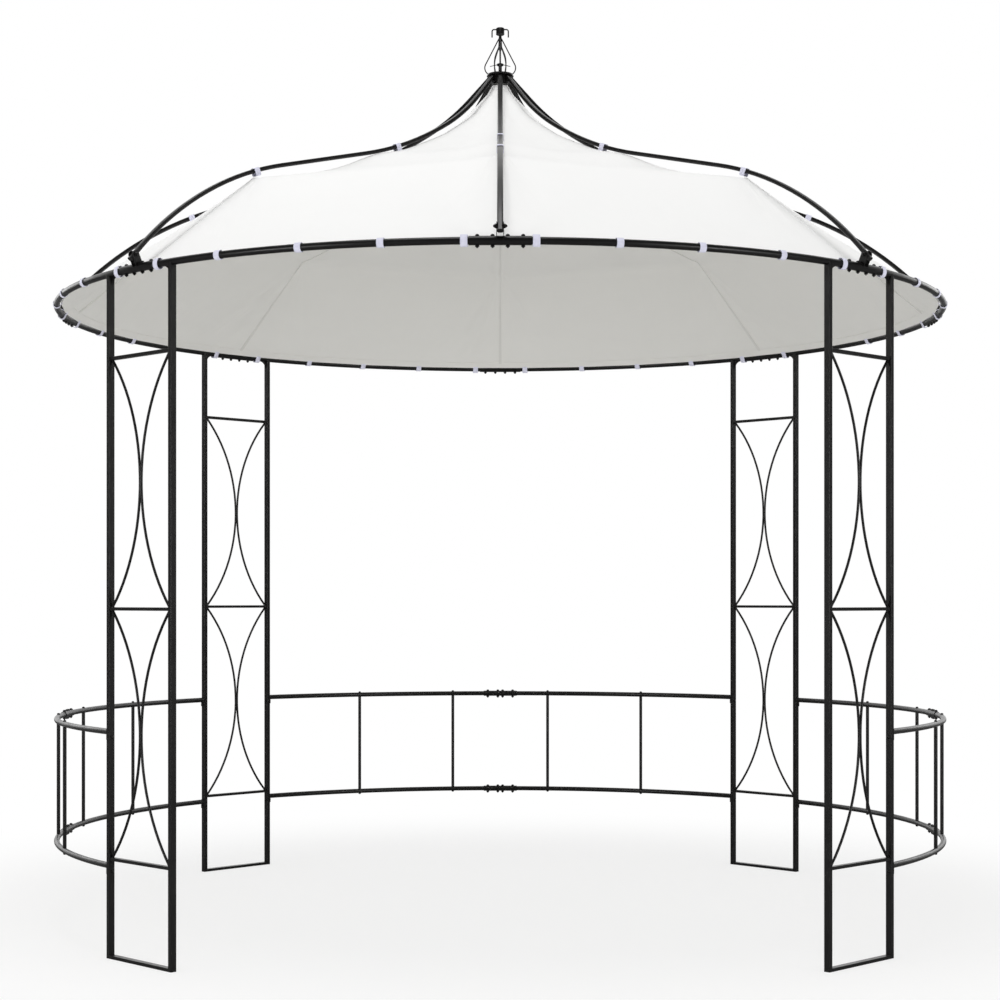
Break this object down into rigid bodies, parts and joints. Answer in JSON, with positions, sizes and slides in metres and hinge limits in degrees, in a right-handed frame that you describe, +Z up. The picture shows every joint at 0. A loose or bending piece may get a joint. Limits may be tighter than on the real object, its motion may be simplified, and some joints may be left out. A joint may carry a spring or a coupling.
{
  "type": "garden gazebo",
  "caption": "Round garden gazebo with lattice columns, low curved railings, ogee roof ribs, a wire finial and a white cloth canopy strapped under the ribs.",
  "frame": {"origin": "on the ground under the finial, at the middle of the eaves ring", "axes": "+Z up, the open entrance faces -Y, +X to the right of someone looking in through the entrance"},
  "size_m": [3.0468, 3.0468, 3.0313],
  "materials": {
    "frame_coat": "dark charcoal powder coat, satin",
    "canopy_cloth": "white coated woven cloth, matt"
  },
  "bodies": {
    "root": {"column_front_right": "frame_coat", "ring_segment_front_right_a": "frame_coat", "ring_segment_front_right_b": "frame_coat", "column_back_right": "frame_coat", "ring_segment_back_right_a": "frame_coat", "ring_segment_back_right_b": "frame_coat", "column_back_left": "frame_coat", "ring_segment_back_left_a": "frame_coat", "ring_segment_back_left_b": "frame_coat", "column_front_left": "frame_coat", "ring_segment_front_left_a": "frame_coat", "ring_segment_front_left_b": "frame_coat", "ring_joint_front": "frame_coat", "rib_front": "frame_coat", "ring_joint_front_right": "frame_coat", "rib_front_right": "frame_coat", "ring_joint_right": "frame_coat", "rib_right": "frame_coat", "ring_joint_back_right": "frame_coat", "rib_back_right": "frame_coat", "ring_joint_back": "frame_coat", "rib_back": "frame_coat", "ring_joint_back_left": "frame_coat", "rib_back_left": "frame_coat", "ring_joint_left": "frame_coat", "rib_left": "frame_coat", "ring_joint_front_left": "frame_coat", "rib_front_left": "frame_coat", "hub": "frame_coat", "finial": "frame_coat", "canopy": "canopy_cloth", "left_top_rail": "frame_coat", "left_bottom_rail": "frame_coat", "left_balusters": "frame_coat", "left_rail_joints": "frame_coat", "back_top_rail": "frame_coat", "back_bottom_rail": "frame_coat", "back_balusters": "frame_coat", "back_rail_joints": "frame_coat", "right_top_rail": "frame_coat", "right_bottom_rail": "frame_coat", "right_balusters": "frame_coat", "right_rail_joints": "frame_coat"}
  },
  "joints": []
}
